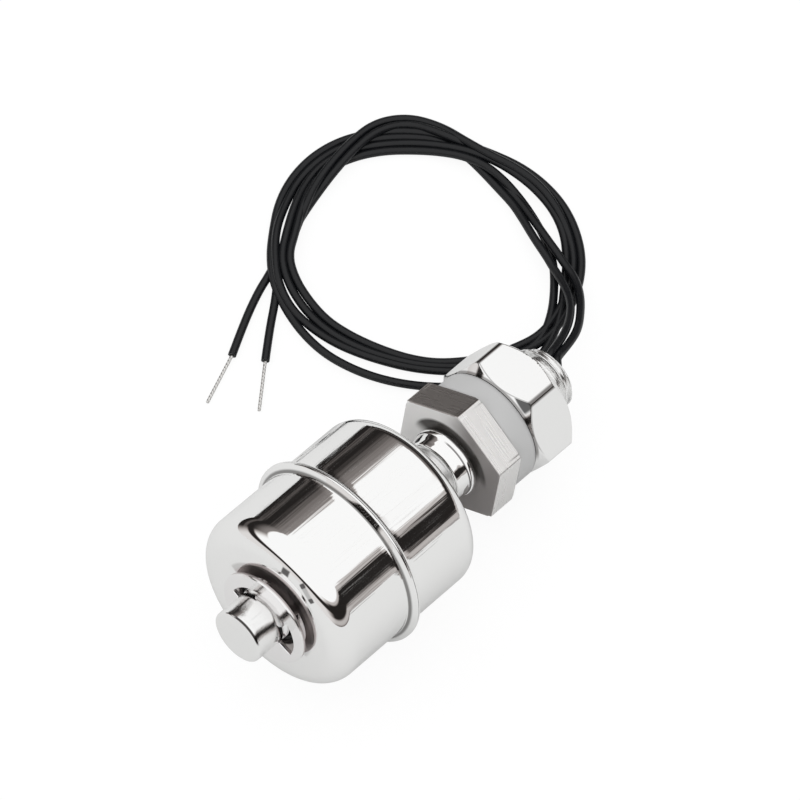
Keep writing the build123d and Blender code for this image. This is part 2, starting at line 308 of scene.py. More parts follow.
reflectionSide = (z * clipReflectionLook["side"][0] + y * clipReflectionLook["side"][1]).between(*clipReflectionLook["sideEdge"]) * face
tint = (radius.between(*clipReflectionLook["reflectionOuterEdge"]) * reflectionSide).colours(floatLook["colour"], clipReflectionLook["reflectionOuter"])
tint = tint.over(radius.between(*clipReflectionLook["reflectionInnerEdge"]) * reflectionSide, clipReflectionLook["scale"])
tint = tint.over(radius.between(*clipReflectionLook["holeEdge"]) * face, clipReflectionLook["hole"])

# The images of the clip's lugs in the polished face: one straight above the stem and one to its lower side,
# whose own directions are run and out
lugImages = {"colour": (0.05, 0.045, 0.045), "share": 0.9, "face": (7.6, 7.2),
             "firstUp": (10.2, 10.5, 11.2, 11.5), "firstAcross": (-2.3, -2.0, -1.1, -0.8),
             "slant": (0.8, 0.6), "out": (10.7, 10.95, 11.35, 11.6), "ends": ((-3.2, -3.0, -2.6, -2.3),
             (-0.9, -0.6, -0.2, 0.0)), "run": (-3.0, -2.7, -0.6, -0.3), "runShare": 0.45}
cosine, sine = lugImages["slant"]
first = z.within(*lugImages["firstUp"]) * y.within(*lugImages["firstAcross"])
run, out = y * -cosine - z * sine, z * cosine - y * sine
ends = run.within(*lugImages["ends"][0]) + run.within(*lugImages["ends"][1])
second = out.within(*lugImages["out"]) * (ends + run.within(*lugImages["run"]) * lugImages["runShare"])
images = (first + second).atMost(1.0) * s.between(*lugImages["face"]) * lugImages["share"]
tint = tint.over(images, lugImages["colour"])

# The side of the float that mirrors the coil, and the dark foot of the seam's bead
sideLook = {"colour": (0.2, 0.2, 0.2), "share": 0.75, "across": (10.8, 11.6, 12.7, 13.3),
            "run": (23, 30, 31.5, 33.0)}
seamLook = {"colour": (0.16, 0.155, 0.15), "share": 0.85, "radius": (13.32, 13.4, 13.6, 13.95)}
beside = y.within(*sideLook["across"]) * s.within(*sideLook["run"]) * sideLook["share"]
foot = radius.within(*seamLook["radius"]) * seamLook["share"]
feed(tint.over(beside, sideLook["colour"]).over(foot, seamLook["colour"]), shader, "Base Color")

# The stem: turned lines round it, a thin rim of painted shade at the upper side of its tip, and duller
# past the float
stemLook = {"colour": (0.9, 0.9, 0.895), "roughness": 0.09, "dull": 0.3, "dullPast": (32.0, 34.0),
            "lines": (3.0, 3.0), "lineStretch": (6.0, 0.25), "lineBump": 0.12, "lineMiddle": 0.5,
            "lined": (0.3, 0.6), "rim": (0.06, 0.055, 0.053), "rimRun": (0.02, 0.1, 0.25, 0.42),
            "rimSide": (0.927, -0.375), "rimHeight": (2.9, 3.4)}
stemSteel, shader, place = newMaterial("stemSteel", stemLook["colour"], 1.0, stemLook["roughness"])
s, y, z = switchPlace(place)
lines = stretched(s, y, z, *stemLook["lineStretch"]).noise(*stemLook["lines"]) - stemLook["lineMiddle"]
feed(bump(lines * s.between(*stemLook["lined"]), stemLook["lineBump"]), shader, "Normal")
rimSide = z * stemLook["rimSide"][0] + y * stemLook["rimSide"][1]
rim = s.within(*stemLook["rimRun"]) * rimSide.between(*stemLook["rimHeight"])
feed(rim.colours(stemLook["colour"], stemLook["rim"]), shader, "Base Color")
feed(s.between(*stemLook["dullPast"]) * stemLook["dull"] + stemLook["roughness"], shader, "Roughness")

# The hexagon: fine lines across its sides, its front face duller, painted shade on one side of the face and
# round the collar, and painted shade on its far side
hexLook = {"colour": (0.9, 0.89, 0.88), "roughness": 0.24, "lines": (1.6, 3.0), "lineStretch": (2.5, 0.12),
           "lineBump": 0.15, "lineDull": 0.08, "face": (41.95, 41.8), "faceDull": 0.06, "faceMatt": 0.7,
           "dark": (0.31, 0.29, 0.285), "darkSide": (3.5, -3.5), "ring": (0.05, 0.045, 0.042),
           "ringEdge": (6.9, 6.3), "ringSide": (0.9, -0.1), "ringHeight": (0.0, 2.5),
           "far": (0.34, 0.31, 0.295), "farWay": (0.5, 0.866), "farEdge": (8.38, 8.46)}
hexSteel, shader, place = newMaterial("hexSteel", hexLook["colour"], 1.0, hexLook["roughness"])
s, y, z = switchPlace(place)
face = s.between(*hexLook["face"])
lines = stretched(s, y, z, *hexLook["lineStretch"]).noise(*hexLook["lines"])
feed(bump(lines, hexLook["lineBump"]), shader, "Normal")
shade = (y.between(*hexLook["darkSide"]) * face).colours(hexLook["colour"], hexLook["dark"])
ringSide = z * hexLook["ringSide"][0] + y * hexLook["ringSide"][1]
ring = fromAxis(y, z).between(*hexLook["ringEdge"]) * face * ringSide.between(*hexLook["ringHeight"])
farFlat = (y * hexLook["farWay"][0] + z * hexLook["farWay"][1]).between(*hexLook["farEdge"])
feed(shade.over(ring, hexLook["ring"]).over(farFlat, hexLook["far"]), shader, "Base Color")
feed(hexLook["roughness"] + lines * hexLook["lineDull"] + face * hexLook["faceDull"], shader, "Roughness")
feed(1.0 - face * hexLook["faceMatt"], shader, "Metallic")

# The collar, turned bright and a little uneven, with painted shade in the crease round it, on one side
collarLook = {"colour": (0.95, 0.95, 0.945), "roughness": 0.06, "uneven": (0.6, 1.0),
              "unevenStretch": (1.2, 0.8), "unevenDepth": 0.00013, "crease": (0.12, 0.11, 0.11),
              "creaseRun": (40.2, 40.28, 40.42, 40.5), "creaseSide": (0.5, -0.5), "creaseShare": 0.85}
collarSteel, shader, place = newMaterial("collarSteel", collarLook["colour"], 1.0, collarLook["roughness"])
s, y, z = switchPlace(place)
uneven = stretched(s, y, z, *collarLook["unevenStretch"]).noise(*collarLook["uneven"])
feed(bump(uneven, 1.0, collarLook["unevenDepth"]), shader, "Normal")
crease = s.within(*collarLook["creaseRun"]) * y.between(*collarLook["creaseSide"])
crease = crease * collarLook["creaseShare"]
feed(crease.colours(collarLook["colour"], collarLook["crease"]), shader, "Base Color")

# The nut: painted shade along its upper edges, behind the front chamfer, at its seat and at one corner of
# the chamfer. Ahead is 0 where the chamfer ends, and more on the sides behind it.
nutLook = {"colour": (0.93, 0.93, 0.925), "roughness": 0.07, "edge": (0.22, 0.21, 0.205),
           "edgeRadius": (9.5, 9.68), "edgeHeight": (0.5, 2.0), "chamferEnd": 41.7,
           "line": (0.02, 0.07, 0.18, 0.3), "lineHeight": (1.0, 3.0), "lineShare": 0.55,
           "seat": (50.45, 50.25), "seatHeight": (0.0, 2.0), "seatShare": 0.8,
           "corner": (0.03, 0.03, 0.03), "cornerRun": (0.05, 0.02), "cornerOut": (8.6, 8.8),
           "cornerAcross": (-1.0, -0.4), "cornerWay": (0.866, 0.5), "cornerShare": 0.9}
nutSteel, shader, place = newMaterial("nutSteel", nutLook["colour"], 1.0, nutLook["roughness"])
s, y, z = switchPlace(place)
radius = fromAxis(y, z)
ahead = s - radius - nutLook["chamferEnd"]
edges = radius.between(*nutLook["edgeRadius"]) * z.between(*nutLook["edgeHeight"])
line = ahead.within(*nutLook["line"]) * z.between(*nutLook["lineHeight"]) * nutLook["lineShare"]
seat = s.between(*nutLook["seat"]) * z.between(*nutLook["seatHeight"]) * nutLook["seatShare"]
cosine, sine = nutLook["cornerWay"]
cornerOut, cornerAcross = z * cosine - y * sine, z * sine + y * cosine
corner = ahead.between(*nutLook["cornerRun"]) * cornerOut.between(*nutLook["cornerOut"])
corner = corner * cornerAcross.between(*nutLook["cornerAcross"]) * nutLook["cornerShare"]
tint = edges.colours(nutLook["colour"], nutLook["edge"])
tint = tint.over(line, nutLook["edge"]).over(seat, nutLook["edge"]).over(corner, nutLook["corner"])
feed(tint, shader, "Base Color")
threadLook = {"colour": (0.93, 0.93, 0.925), "roughness": 0.2}
threadSteel, shader, place = newMaterial("threadSteel", threadLook["colour"], 1.0, threadLook["roughness"])

# The clip: bright in front, and dull at the sheared rim and behind, darkened there with painted shade
clipLook = {"face": (0.90, 0.89, 0.89), "back": (0.52, 0.475, 0.47), "behind": (4.86, 5.0),
            "roughness": 0.12, "dull": 0.3}
clipSteel, shader, place = newMaterial("clipSteel", clipLook["face"], 1.0, clipLook["roughness"])
s, y, z = switchPlace(place)
behind = s.between(*clipLook["behind"])
feed(behind.colours(clipLook["face"], clipLook["back"]), shader, "Base Color")
feed(behind * clipLook["dull"] + clipLook["roughness"], shader, "Roughness")

# The gasket, a little darker towards the nut
gasketLook = {"colour": (0.41, 0.41, 0.41), "edge": (0.31, 0.31, 0.31), "edgeRun": (49.3, 50.0),
              "roughness": 0.5}
gasketSilicone, shader, place = newMaterial("gasketSilicone", gasketLook["colour"], 0.0,
                                            gasketLook["roughness"])
s, y, z = switchPlace(place)
shade = s.between(*gasketLook["edgeRun"]).colours(gasketLook["colour"], gasketLook["edge"])
feed(shade, shader, "Base Color")

leadLook = {"colour": (0.005, 0.0055, 0.0068), "roughness": 0.33, "specular": 0.34}
leadInsulation, shader, place = newMaterial("leadInsulation", leadLook["colour"], 0.0, leadLook["roughness"])
shader.inputs["Specular IOR Level"].default_value = leadLook["specular"]

tinnedLook = {"colour": (0.78, 0.77, 0.75), "roughness": 0.25}
tinnedCopper, shader, place = newMaterial("tinnedCopper", tinnedLook["colour"], 1.0, tinnedLook["roughness"])
# Dark for the parts inside; on the float's tube, seen through the clip's openings, it is painted shade
insideAndShadeLook = {"colour": (0.03, 0.03, 0.03), "roughness": 0.5}
insideAndShadeDark, shader, place = newMaterial("insideAndShadeDark", insideAndShadeLook["colour"], 0.0, insideAndShadeLook["roughness"])
print("materials made")

# The float: two drawn shells that meet in a bead, in mm. The magnet and the tube inside it stay as solids.
floatShape = {"front": 6.12, "length": 27.18, "radius": 13.3, "frontRound": 3.2, "rearRound": 2.4,
              "wall": 0.5, "hole": 4.75, "holeEdge": 0.06, "seam": 19.7, "rim": 14.5, "lip": 0.28,
              "foot": 0.8, "footRound": 0.4, "lipRound": 0.24, "seamEdge": 0.06, "seamGap": 0.03,
              "around": 360}


def floatShell(name, face, corner, way):
    # one shell, from its face to the seam; way is 1 for the front shell and -1 for the rear one
    size = floatShape
    rim, inner = size["rim"], size["radius"] - size["wall"]
    inside, meeting = face + way * size["wall"], size["seam"] - way * size["seamGap"]
    lip, foot = size["seam"] - way * size["lip"], size["seam"] - way * size["foot"]
    corners = [
        (face, size["hole"], size["holeEdge"]), (face, size["radius"], corner),
        (foot, size["radius"], size["footRound"]), (lip, rim, size["lipRound"]),
        (meeting, rim, size["seamEdge"]), (meeting, inner), (inside, inner, corner - size["wall"]),
        (inside, size["hole"]),
    ]
    return turned(name, corners if way < 0 else corners[::-1], around=size["around"])


front = floatShell("floatFront", floatShape["front"], floatShape["frontRound"], 1)
rear = floatShell("floatRear", floatShape["front"] + floatShape["length"], floatShape["rearRound"], -1)
putOn(front, floatSteel, "float", "float_front_shell")
putOn(rear, floatSteel, "float", "float_rear_shell")

# The stem: its closed end stands out of the float, grooved for the clip. Its profile is open and ends in
# a pole at both ends.
stemShape = {"radius": 4.0, "bore": 3.4, "plug": 8.0, "end": 50.2, "groove": 4.6, "grooveEnd": 5.35,
             "grooveRadius": 3.5, "edge": 0.3, "pole": 0.4, "around": 180}
size = stemShape
profile = filled([
    (0, size["pole"]), (0, size["radius"], size["edge"]), (size["groove"], size["radius"]),
    (size["groove"], size["grooveRadius"]), (size["grooveEnd"], size["grooveRadius"]),
    (size["grooveEnd"], size["radius"]), (size["end"], size["radius"]), (size["end"], size["bore"]),
    (size["plug"], size["bore"]), (size["plug"], size["pole"]),
], fineness["step"], closed=False)[::-1]
stem = lathed("stem", onAxis(profile[:, :1], profile[:, 1:], angles(size["around"])[None, :]), closed=False)
putOn(stem, stemSteel, "sensor", "stem_tube")

# The clip: an open ring a little off centre, whose lugs reach into the groove; lengths in mm, angles in
# degrees
clipShape = {"front": 4.65, "back": 5.27, "outer": 7.15, "middle": (0, -0.35), "pocket": 5.6,
             "pocketMiddle": (-0.9, -0.3), "turn": -21.5, "groove": 3.56, "mouth": 6.4, "edge": 0.09,
             "lug": (36.8, -22.5), "lugEnd": (50.6, -50.6), "sideLugs": (96, -89),
             "sideLugEnds": (112, -104), "ringSteps": 150, "pocketSteps": 40, "endSteps": 8, "sharp": 35}


def clipOutline(size):
    # its edge, as distances upward and sideways from the axis: arcs of the ring, its pocket and the groove
    def arc(radius, middle, start, stop, count):
        angle = np.radians(np.linspace(start, stop, count) + size["turn"])
        return np.c_[middle[0] + radius * np.cos(angle), middle[1] + radius * np.sin(angle)]

    ring, pocket = (size["outer"], size["middle"]), (size["pocket"], size["pocketMiddle"])
    groove = (size["groove"], (0, 0))
    ringMouth, grooveMouth = (180 - math.degrees(math.asin(size["mouth"] / 2 / radius))
                              for radius in (size["outer"], size["groove"]))
    return np.concatenate([
        arc(*ring, -ringMouth, ringMouth, size["ringSteps"]),
        arc(*groove, grooveMouth, size["sideLugEnds"][0], size["endSteps"]),
        arc(*pocket, size["sideLugs"][0], size["lug"][0], size["pocketSteps"]),
        arc(*groove, *size["lugEnd"], size["pocketSteps"]),
        arc(*pocket, size["lug"][1], size["sideLugs"][1], size["pocketSteps"]),
        arc(*groove, size["sideLugEnds"][1], -grooveMouth, size["endSteps"]),
    ])


def drawnIn(outline, amount):
    # each point of an outline moved inwards, square to the mean of the runs before and behind it
    ahead, behind = np.roll(outline, -1, 0) - outline, outline - np.roll(outline, 1, 0)
    lean = ahead / np.linalg.norm(ahead, axis=1)[:, None] + behind / np.linalg.norm(behind, axis=1)[:, None]
    lean /= np.linalg.norm(lean, axis=1)[:, None]
    return outline + np.c_[-lean[:, 1], lean[:, 0]] * amount


def stampedClip(size):
    # four rings of points: the front face's, the two of the sheared rim and the back face's
    outline = clipOutline(size)
    inset = drawnIn(outline, size["edge"])
    rows = []
    for place, edge in ((size["front"], inset), (size["front"] + size["edge"], outline),
                        (size["back"] - size["edge"], outline), (size["back"], inset)):
        rows.append((tip + place * along + edge[:, :1] * upward + edge[:, 1:] * sideways) * mm)
    count = len(outline)
    j, k = np.arange(count), (np.arange(count) + 1) % count
    strip = np.stack([j, count + j, count + k, k], -1)
    quads = np.concatenate([i * count + strip for i in range(len(rows) - 1)])
    faces = []
    for three in tessellate_polygon([[Vector((*spot, 0)) for spot in inset]]):
        p, q, r = (inset[i] for i in three)
        turnsLeft = (q - p)[0] * (r - p)[1] - (q - p)[1] * (r - p)[0] > 0
        three = list(three) if turnsLeft else list(three)[::-1]
        faces += [three, [(len(rows) - 1) * count + i for i in three[::-1]]]
    return meshPiece("clip", np.concatenate(rows), quads, faces)


clip = stampedClip(clipShape)
clip.data.set_sharp_from_angle(angle=math.radians(clipShape["sharp"]))
putOn(clip, clipSteel, "sensor", "retaining_clip")

# The hexagons: an outline whose corners are softened, cut by cones at the ends
hexagons = {"around": 720, "leastLean": 0.05, "sharp": 22, "past": 20.0}     # past: mm, beyond any corner


def hexagon(angle, flat, soft):
    # distance from the axis to a hexagon with its flats at multiples of 60 degrees; a larger soft is sharper
    reach = []
    for k in range(6):
        lean = np.cos(angle - math.radians(60 * k))
        reach.append(np.maximum(lean, hexagons["leastLean"]) / flat)
    return np.sum(np.array(reach) ** soft, 0) ** (-1 / soft)


def prism(name, size, steps, inner):
    # steps: (place, cone limit) along the outside; inner: (place, radius) back along the inside
    angle = angles(hexagons["around"])
    sides = hexagon(angle - math.radians(size["turn"]), size["flat"], size["soft"])
    rows = [onAxis(place, np.minimum(sides, limit), angle) for place, limit in steps]
    rows += [onAxis(place, radius, angle) for place, radius in inner]
    piece = lathed(name, np.array(rows)[::-1], closed=True)
    piece.data.set_sharp_from_angle(angle=math.radians(hexagons["sharp"]))
    return piece


nutShape = {"front": 50.1, "length": 7.28, "flat": 8.5, "soft": 75, "turn": 0, "chamfer": 8.4, "corner": 9.9,
            "slope": 1.0, "bore": 5.05, "boreChamfer": 0.6, "chamferSteps": 22, "sideSteps": 12}
size = nutShape
back = size["front"] + size["length"]
drop, mouth = size["corner"] - size["chamfer"], size["boreChamfer"]
ramp = np.linspace(0, 1, size["chamferSteps"])
frontRamp = [(size["front"] + drop * size["slope"] * q, size["chamfer"] + drop * q) for q in ramp]
backRamp = [(back - drop * size["slope"] * q, size["chamfer"] + drop * q) for q in ramp[::-1]]
sides = [(place, hexagons["past"])
         for place in np.linspace(frontRamp[-1][0], backRamp[0][0], size["sideSteps"])[1:-1]]
nutInside = [(back, size["bore"] + mouth), (back - mouth, size["bore"]),
             (size["front"] + mouth, size["bore"]), (size["front"], size["bore"] + mouth)]
nut = prism("nut", size, frontRamp + sides + backRamp, nutInside)
putOn(nut, nutSteel, "nut", "mounting_nut")

hexShape = {"front": 41.75, "length": 4.45, "flat": 8.5, "soft": 260, "turn": 30, "edge": 0.12, "bore": 4.4,
            "collar": 4.6, "rings": (7.9, 9.5), "side": 2.0}
size = hexShape
back = size["front"] + size["length"]
innerRing, outerRing = size["rings"]
hexSteps = [(size["front"], size["collar"]), (size["front"], innerRing), (size["front"], outerRing),
            (size["front"] + size["edge"], hexagons["past"]),
            (size["front"] + size["side"], hexagons["past"]),
            (back - size["edge"], hexagons["past"]), (back, outerRing), (back, innerRing)]
hexBody = prism("hexBody", size, hexSteps, [(back, size["bore"])])
putOn(hexBody, hexSteel, "sensor", "hex_fitting")

collarShape = {"step": 0.2, "around": 200,
               "profile": [(41.9, 4.03), (38.3, 4.03), (38.4, 4.7, 0.5), (40.3, 5.1, 0.3),
                           (40.42, 5.15, 0.1), (41.5, 5.6, 0.7), (41.68, 4.9, 0.1), (41.9, 4.6)]}
collar = turned("collar", collarShape["profile"][::-1], collarShape["step"], collarShape["around"])
putOn(collar, collarSteel, "sensor", "hex_fitting")

# The shank: a right-hand thread that runs out into a chamfer at the end, around a bore for the leads
threadShape = {"start": 46.0, "end": 62.2, "outer": 5.0, "root": 4.12, "pitch": 1.5, "bore": 3.1,
               "chamfer": 0.75, "boreEdge": 0.15, "crest": 1.25, "flank": 4.2, "rounding": 0.35,
               "step": 0.075, "around": 160}
size = threadShape
place = np.arange(size["start"], size["end"] + 1e-6, size["step"])[:, None]
angle = angles(size["around"])
phase = (place / size["pitch"] - angle / (2 * math.pi)) % 1.0
ridge = np.clip(size["crest"] - size["flank"] * np.abs(phase - 0.5), 0, 1)
ridge = ridge * ridge * (3 - 2 * ridge) * size["rounding"] + ridge * (1 - size["rounding"])
limit = size["outer"] - np.clip(size["chamfer"] - (size["end"] - place), 0, 1)
radius = np.minimum(size["root"] + (size["outer"] - size["root"]) * ridge, limit)
rows = [onAxis(place[i], radius[i], angle) for i in range(len(place))]
rows += [onAxis(size["end"], size["bore"] + size["boreEdge"], angle),
         onAxis(size["end"] - size["boreEdge"], size["bore"], angle),
         onAxis(size["start"], size["bore"], angle)]
shank = lathed("shank", np.array(rows)[::-1], closed=True)
putOn(shank, threadSteel, "sensor", "hex_fitting")

gasketShape = {"front": 46.2, "back": 50.1, "radius": 8.55, "bore": 5.35, "round": 0.45, "around": 200}
size = gasketShape
gasket = turned("gasket", [(size["back"], size["bore"]), (size["back"], size["radius"], size["round"]),
                           (size["front"], size["radius"], size["round"]), (size["front"], size["bore"])],
                around=size["around"])
putOn(gasket, gasketSilicone, "sensor", "sealing_gasket")

for name in ("reed_blade_front", "reed_blade_rear", "solder_joint_front", "solder_joint_rear"):
    putOn(nodes[name], stemSteel)
# The float's tube is painted dark as shade in the clip's openings; the other parts are inside
for name in ("float_tube", "ring_magnet", "reed_glass", "insulating_sleeve", "potting_plug"):
    putOn(nodes[name], insideAndShadeDark)
for name in ("inner_wire_return", "inner_wire_direct"):
    putOn(nodes[name], leadInsulation)

# The bare ends: tinned strands twisted together, six of them round a middle one, along each solid's own line
strands = {"radius": 0.24, "depth": 0.07, "twist": 1.9, "lobes": 6, "around": 48, "step": 0.12,
           "inset": 0.02}               # mm; twist in radians for each mm


def twistedEnd(name, solid):
    # a rod whose section has a lobe for each outer strand, and turns along it
    spots = np.array([solid.matrix_world @ v.co for v in solid.data.vertices]) / mm
    middle = spots.mean(0)
    way = np.linalg.svd(spots - middle)[2][0]
    run = (spots - middle) @ way
    across = np.cross(way, (0, 0, 1))
    across /= np.linalg.norm(across)
    over = np.cross(across, way)
    angle = angles(strands["around"])
    outward = np.cos(angle)[:, None] * across + np.sin(angle)[:, None] * over
    rows = []
    for t in np.arange(run.min() + strands["inset"], run.max(), strands["step"]):
        lobes = np.abs(np.cos(strands["lobes"] / 2 * (angle - strands["twist"] * t)))
        radius = strands["radius"] - strands["depth"] * (1 - lobes)
        rows.append((middle + t * way + radius[:, None] * outward) * mm)
    return lathed(name, np.array(rows), closed=False)


bareEnds = {}
for name, node in (("bareFirst", "bare_end_a"), ("bareSecond", "bare_end_b")):
    bareEnds[node] = twistedEnd(name, nodes[node])
    putOn(bareEnds[node], tinnedCopper, "sensor", node)
print("rigid pieces made")

# The leads: out of the shank's mouth, round the coil and out of it to a bare end. In mm: the ways out and in
# as points, and the turns as distances from the coil's middle, one for each step of the angle, with the
# heights of the steps that don't lie on the floor.
coil = {"middle": (35.0, 27.6), "step": 12, "first": -12, "lowest": 0.62, "thick": 1.2, "roundSteps": 6,
        "runSteps": 8}
leads = {
    "leadFirst": {
        "exit": [(30.22, -1.0, 7.53), (31.3, -0.95, 7.35), (32.3, -0.1, 7.9), (33.0, 0.7, 7.95),
                 (34.3, 1.1, 7.2), (36.46, 1.55, 6.5), (38.57, 2.17, 5.8), (40.38, 3.16, 5.0),
                 (42.0, 4.39, 4.2), (43.5, 5.65, 3.5), (44.84, 7.04, 2.9), (45.98, 8.56, 2.4),
                 (46.83, 10.32, 2.0), (47.4, 12.24, 1.8), (47.96, 14.0, 1.8), (48.6, 16.3, 1.75),
                 (49.4, 18.8, 1.5), (50.2, 21.3, 1.1)],
        "reach": [16.4, 16.7, 17.5, 18.9, 20.4, 21.1, 21.8, 22.7, 23.1, 23.0, 22.5, 21.7, 21.5, 21.3,
                  20.7, 20.4, 20.2, 19.9, 19.8, 19.9, 20.3, 21.0, 21.6, 22.8, 22.1, 21.15, 20.2, 20.1,
                  20.2, 20.0, 19.3, 18.7, 18.4, 18.3, 18.6, 19.1, 19.7, 20.7, 21.3, 20.8, 20.0, 19.6,
                  19.9, 19.4, 18.5, 17.7, 17.0, 16.5, 16.3, 16.5, 17.0, 17.8, 18.7, 20.0, 21.4, 21.8,
                  22.2, 22.3, 22.0, 21.6, 21.0, 20.4, 19.7, 19.2, 20.3, 22.4, 21.8, 20.0, 18.8, 18.4,
                  18.5, 19.1],
        "height": {0: 0.8, 12: 1.1, 13: 1.1, 30: 1.2, 31: 1.6, 32: 1.7, 33: 1.6, 34: 1.0, 39: 0.9,
                   40: 1.5, 41: 1.7, 42: 1.7, 43: 1.5, 44: 0.8, 62: 0.8, 63: 1.5, 64: 1.6, 65: 0.7,
                   66: 1.4, 67: 1.7, 68: 1.6, 69: 0.9},
        "tail": [(18.9, 42.0, 0.55), (15.7, 41.2, 0.55), (10.85, 39.3, 0.55), (5.95, 36.95, 0.55)],
        "bare": "bare_end_a", "tailNode": "lead_tail_a", "exitNode": "lead_exit_a",
    },
    "leadSecond": {
        "exit": [(30.22, 1.0, 7.53), (31.3, 1.05, 7.35), (32.3, 1.6, 7.8), (33.3, 2.0, 7.8),
                 (34.34, 2.24, 7.4), (36.5, 2.81, 6.7), (38.53, 3.68, 5.9), (40.3, 4.8, 5.0),
                 (41.9, 6.06, 4.2), (43.24, 7.57, 3.4), (44.28, 9.29, 2.8), (45.13, 11.14, 2.3),
                 (45.85, 13.05, 1.9), (46.54, 14.76, 1.8), (47.3, 17.2, 1.75), (48.1, 19.3, 1.5),
                 (49.1, 21.7, 1.1)],
        "reach": [15.4, 15.6, 16.5, 18.1, 19.6, 20.1, 20.8, 21.7, 22.1, 22.0, 21.4, 21.2, 20.8, 20.7,
                  20.1, 18.9, 18.0, 17.3, 17.0, 17.2, 17.7, 18.6, 19.4, 20.4, 20.8, 19.8, 18.8, 18.2,
                  17.4, 16.9, 16.8, 16.9, 17.2, 17.3, 17.6, 17.9, 18.6, 19.4, 20.1, 19.8, 18.9, 18.4,
                  18.9, 18.2, 17.2, 16.5, 15.8, 15.4, 15.4, 15.8, 16.4, 17.0, 17.9, 18.9, 20.3, 20.6,
                  21.0, 21.2, 20.9, 20.5, 20.0, 19.2, 18.6, 19.3, 21.7, 23.4, 23.2, 21.3, 20.0, 19.2,
                  18.5, 18.6],
        "height": {0: 0.8, 10: 1.0, 11: 1.6, 12: 1.7, 13: 1.6, 14: 1.0, 31: 1.2, 32: 1.6, 33: 1.5,
                   34: 0.8, 39: 1.1, 40: 1.6, 41: 1.7, 42: 1.7, 43: 1.5, 44: 0.9, 59: 1.1, 60: 1.7,
                   61: 2.1, 62: 2.3, 63: 2.1, 64: 0.9, 66: 1.1, 67: 1.7, 68: 1.7, 69: 1.7, 70: 1.6,
                   71: 0.9},
        "tail": [(19.5, 41.0, 0.55), (16.2, 38.4, 0.55), (12.4, 35.9, 0.55), (8.45, 32.95, 0.55)],
        "bare": "bare_end_b", "tailNode": "lead_tail_b", "exitNode": "lead_exit_b",
    },
}


def cordCurve(name, points):
    # one open smooth curve that the points draw towards them, as thick as a lead
    curve = bpy.data.curves.new(name, "CURVE")
    curve.dimensions = "3D"
    curve.bevel_depth = coil["thick"] / 2 * mm
    curve.bevel_resolution = coil["roundSteps"]
    curve.resolution_u = coil["runSteps"]
    curve.use_fill_caps = True
    spline = curve.splines.new("NURBS")
    spline.points.add(len(points) - 1)
    spline.points.foreach_set("co", np.c_[points, np.ones(len(points))].ravel())
    spline.order_u = 3
    spline.use_endpoint_u = True
    wire = bpy.data.objects.new(name, curve)
    bpy.context.scene.collection.objects.link(wire)
    return wire


for name, lead in leads.items():
    turns = []
    for k, reach in enumerate(lead["reach"]):
        angle = math.radians(coil["first"] + coil["step"] * k)
        x, y = coil["middle"][0] + reach * math.cos(angle), coil["middle"][1] + reach * math.sin(angle)
        turns.append((x, y, lead["height"].get(k, coil["lowest"])))
    points = np.array(lead["exit"] + turns + lead["tail"]) * mm
    wire = cordCurve(name, points)
    putOn(wire, leadInsulation, "sensor", [lead["exitNode"], lead["tailNode"], "lead_coil"])

# The floor: to the camera it mostly glows, so its shadows are faint, and it shines a little less in the
# steel. Half its width is in m.
floorLook = {"half": 3, "lit": (0.9, 0.9, 0.9, 1), "glow": 0.9, "mirrored": (0.60, 0.60, 0.597, 1)}
half = floorLook["half"]
floorMesh = bpy.data.meshes.new("floor")
floorCorners = [(-half, -half, 0), (half, -half, 0), (half, half, 0), (-half, half, 0)]
floorMesh.from_pydata(floorCorners, [], [(0, 1, 2, 3)])
floor = bpy.data.objects.new("floor", floorMesh)
bpy.context.scene.collection.objects.link(floor)
floorPaint = bpy.data.materials.new("floorPaint")
floorPaint.use_nodes = True
tree = floorPaint.node_tree
tree.nodes.clear()
cameraRay = Value(tree, tree.nodes.new("ShaderNodeLightPath").outputs["Is Camera Ray"])


def mixedShader(share, first, second):
    made = cameraRay.node("ShaderNodeMixShader", {}, share)
    tree.links.new(first.outputs[0], made.inputs[1])
    tree.links.new(second.outputs[0], made.inputs[2])
    return made


lit = cameraRay.node("ShaderNodeBsdfDiffuse", {}, floorLook["lit"])
glow = cameraRay.node("ShaderNodeEmission", {}, (1, 1, 1, 1), 1.0)
dim = cameraRay.node("ShaderNodeBsdfDiffuse", {}, floorLook["mirrored"])
mixed = mixedShader(cameraRay, dim, mixedShader(floorLook["glow"], lit, glow))
output = tree.nodes.new("ShaderNodeOutputMaterial")
tree.links.new(mixed.outputs[0], output.inputs[0])
floor.data.materials.append(floorPaint)

# The studio: white to the camera, soft light on everything, and in the steel a white tent above a dark
# horizon. Heights are the sine of the angle above the horizon, and the ways point along the floor.
studio = {"dark": 0.018, "white": 1.0, "warmDark": (1.0, 0.88, 0.83), "whiteLight": (1.0, 1.0, 1.0),
          "farWay": (0.4, 0.917, 0), "leftWay": (-0.966, 0.259, 0),
          "farBlend": (-0.25, 0.25), "leftBlend": (0.35, 0.75),
          "softRise": (-0.2, 0.9), "soft": 1.05, "softMore": 0.35}
# far: a faint strip at 6 to 14 degrees, dark, greyer from 19 degrees, and white from 44
farTent = {"strip": (0.11, 0.15, 0.19, 0.24), "stripLight": 0.07, "greyer": (0.33, 0.66), "grey": 0.22,
           "whiteFrom": (0.645, 0.69)}
# near: a grey strip at the horizon, dark from 10 degrees, half light at 28, then white
nearTent = {"low": 0.2, "lowMore": 0.3, "lowRise": (0.0, 0.05), "darkFrom": (0.10, 0.17), "half": 0.5,
            "halfFrom": (0.42, 0.47), "whiteFrom": (0.49, 0.53)}
